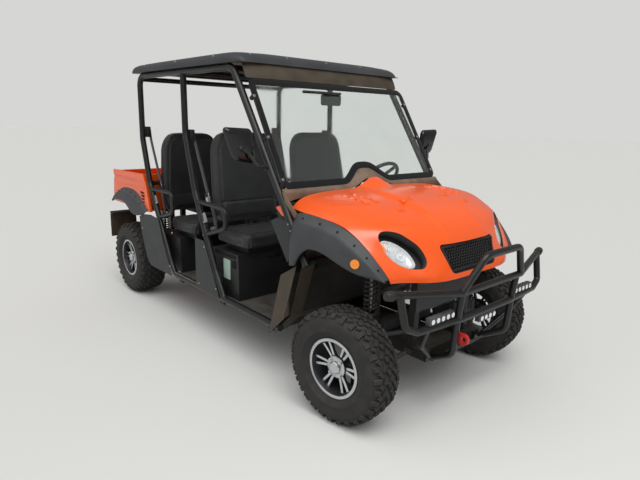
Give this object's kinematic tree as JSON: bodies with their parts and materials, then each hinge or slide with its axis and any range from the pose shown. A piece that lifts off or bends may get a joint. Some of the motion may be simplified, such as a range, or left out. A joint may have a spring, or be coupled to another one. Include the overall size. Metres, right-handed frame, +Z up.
{
  "type": "side by side utility vehicle",
  "caption": "Two-row side by side utility vehicle with an open tube cage, roof, windscreen, steered front wheels and a tipping cargo bed with a tailgate.",
  "frame": {"origin": "on the ground below the middle of the vehicle's box", "axes": "+X forwards, +Y to the vehicle's left, +Z up"},
  "size_m": [3.629, 1.9236, 1.9783],
  "materials": {
    "frame_steel": "satin black powder coat",
    "cage_steel": "fine textured black powder coat",
    "floor_plastic": "ribbed black plastic",
    "roof_plastic": "grained dark grey plastic",
    "screen_border": "gloss black border",
    "clear_glass": "clear",
    "black_plastic": "grained black plastic",
    "grey_plastic": "grained dark grey plastic",
    "orange_plastic": "painted orange plastic",
    "lamp_lens": "clear lamp lens",
    "red_lens": "clear red lens",
    "amber_lens": "clear amber lens",
    "red_steel": "red powder coat",
    "cast_metal": "cast, dull",
    "bare_steel": "zinc plated",
    "spring_steel": "black coated springs",
    "battery_case": "black case",
    "seat_vinyl": "black seat vinyl",
    "belt_webbing": "woven webbing",
    "tyre_rubber": "black rubber, dusty",
    "rim_alloy": "machined lip and dark centre"
  },
  "bodies": {
    "chassis": {"battery_block": "battery_case", "cage_cross_bars": "cage_steel", "cage_sides": "cage_steel", "chassis_frame": "frame_steel", "cowl": "grey_plastic", "dash": "black_plastic", "floor_pan": "floor_plastic", "front_bumper": "cage_steel", "front_flares": "grey_plastic", "grille": "black_plastic", "headlamps": "lamp_lens", "hood": "orange_plastic", "mirrors": "black_plastic", "motor_block": "cast_metal", "nose_panel": "grey_plastic", "rack_housing": "cast_metal", "roof": "roof_plastic", "seat_backs": "seat_vinyl", "seat_belts": "belt_webbing", "seat_boxes": "black_plastic", "seat_cushions": "seat_vinyl", "shock_absorbers": "spring_steel", "side_lamps": "amber_lens", "side_panels": "grey_plastic", "skid_plate": "floor_plastic", "splash_guards": "black_plastic", "steering_column": "frame_steel", "suspension_arms": "frame_steel", "tow_plates": "red_steel", "windscreen_border": "screen_border", "windscreen_glass": "clear_glass", "wiper": "black_plastic", "work_lights": "lamp_lens"},
    "knuckle_right": {"knuckle_right": "cast_metal"},
    "knuckle_left": {"knuckle_left": "cast_metal"},
    "tie_rods": {"tie_rods": "bare_steel"},
    "steering_wheel": {"steering_wheel": "black_plastic"},
    "bed": {"bed_tub": "orange_plastic", "rear_flares": "grey_plastic", "tail_lamps": "red_lens"},
    "tailgate": {"tailgate": "orange_plastic"},
    "wheel_front_right": {"tyre_front_right": "tyre_rubber", "rim_front_right": "rim_alloy"},
    "wheel_front_left": {"tyre_front_left": "tyre_rubber", "rim_front_left": "rim_alloy"},
    "wheel_rear_right": {"tyre_rear_right": "tyre_rubber", "rim_rear_right": "rim_alloy"},
    "wheel_rear_left": {"tyre_rear_left": "tyre_rubber", "rim_rear_left": "rim_alloy"}
  },
  "joints": [
    {"name": "steer_right", "type": "hinge", "parent": "chassis", "child": "knuckle_right", "pos_m": [1.29, -0.552, 0.317], "axis": [0, 0, 1], "range_deg": [-36.5, 23.5]},
    {"name": "spin_front_right", "type": "hinge", "parent": "knuckle_right", "child": "wheel_front_right", "pos_m": [1.30211, -0.65831, 0.317], "axis": [-0.1132, 0.9936, 0], "continuous": true},
    {"name": "spin_rear_right", "type": "hinge", "parent": "chassis", "child": "wheel_rear_right", "pos_m": [-1.424, -0.622, 0.317], "axis": [0, 1, 0], "continuous": true},
    {"name": "steer_left", "type": "hinge", "parent": "chassis", "child": "knuckle_left", "pos_m": [1.29, 0.552, 0.317], "axis": [0, 0, 1], "range_deg": [-36.5, 23.5]},
    {"name": "spin_front_left", "type": "hinge", "parent": "knuckle_left", "child": "wheel_front_left", "pos_m": [1.27789, 0.65831, 0.317], "axis": [-0.1132, 0.9936, 0], "continuous": true},
    {"name": "spin_rear_left", "type": "hinge", "parent": "chassis", "child": "wheel_rear_left", "pos_m": [-1.424, 0.622, 0.317], "axis": [0, 1, 0], "continuous": true},
    {"name": "rack", "type": "slide", "parent": "chassis", "child": "tie_rods", "axis": [0, 1, 0], "range_m": [-0.0453, 0.0703]},
    {"name": "steering_wheel", "type": "hinge", "parent": "chassis", "child": "steering_wheel", "pos_m": [0.56, 0.352, 1.15], "axis": [-0.788, 0, 0.6157], "range_deg": [-438.5, 282.5]},
    {"name": "bed_tilt", "type": "hinge", "parent": "chassis", "child": "bed", "pos_m": [-1.68, 0, 0.76], "axis": [0, -1, 0], "range_deg": [0, 45]},
    {"name": "tailgate", "type": "hinge", "parent": "bed", "child": "tailgate", "pos_m": [-1.722, 0, 0.824], "axis": [0, -1, 0], "range_deg": [0, 90]}
  ],
  "couplings": [
    {"joint": "steer_left", "follows": "steer_right", "ratio": 1},
    {"joint": "rack", "follows": "steer_right", "m_per_rad": -0.11},
    {"joint": "steering_wheel", "follows": "steer_right", "ratio": 12}
  ]
}
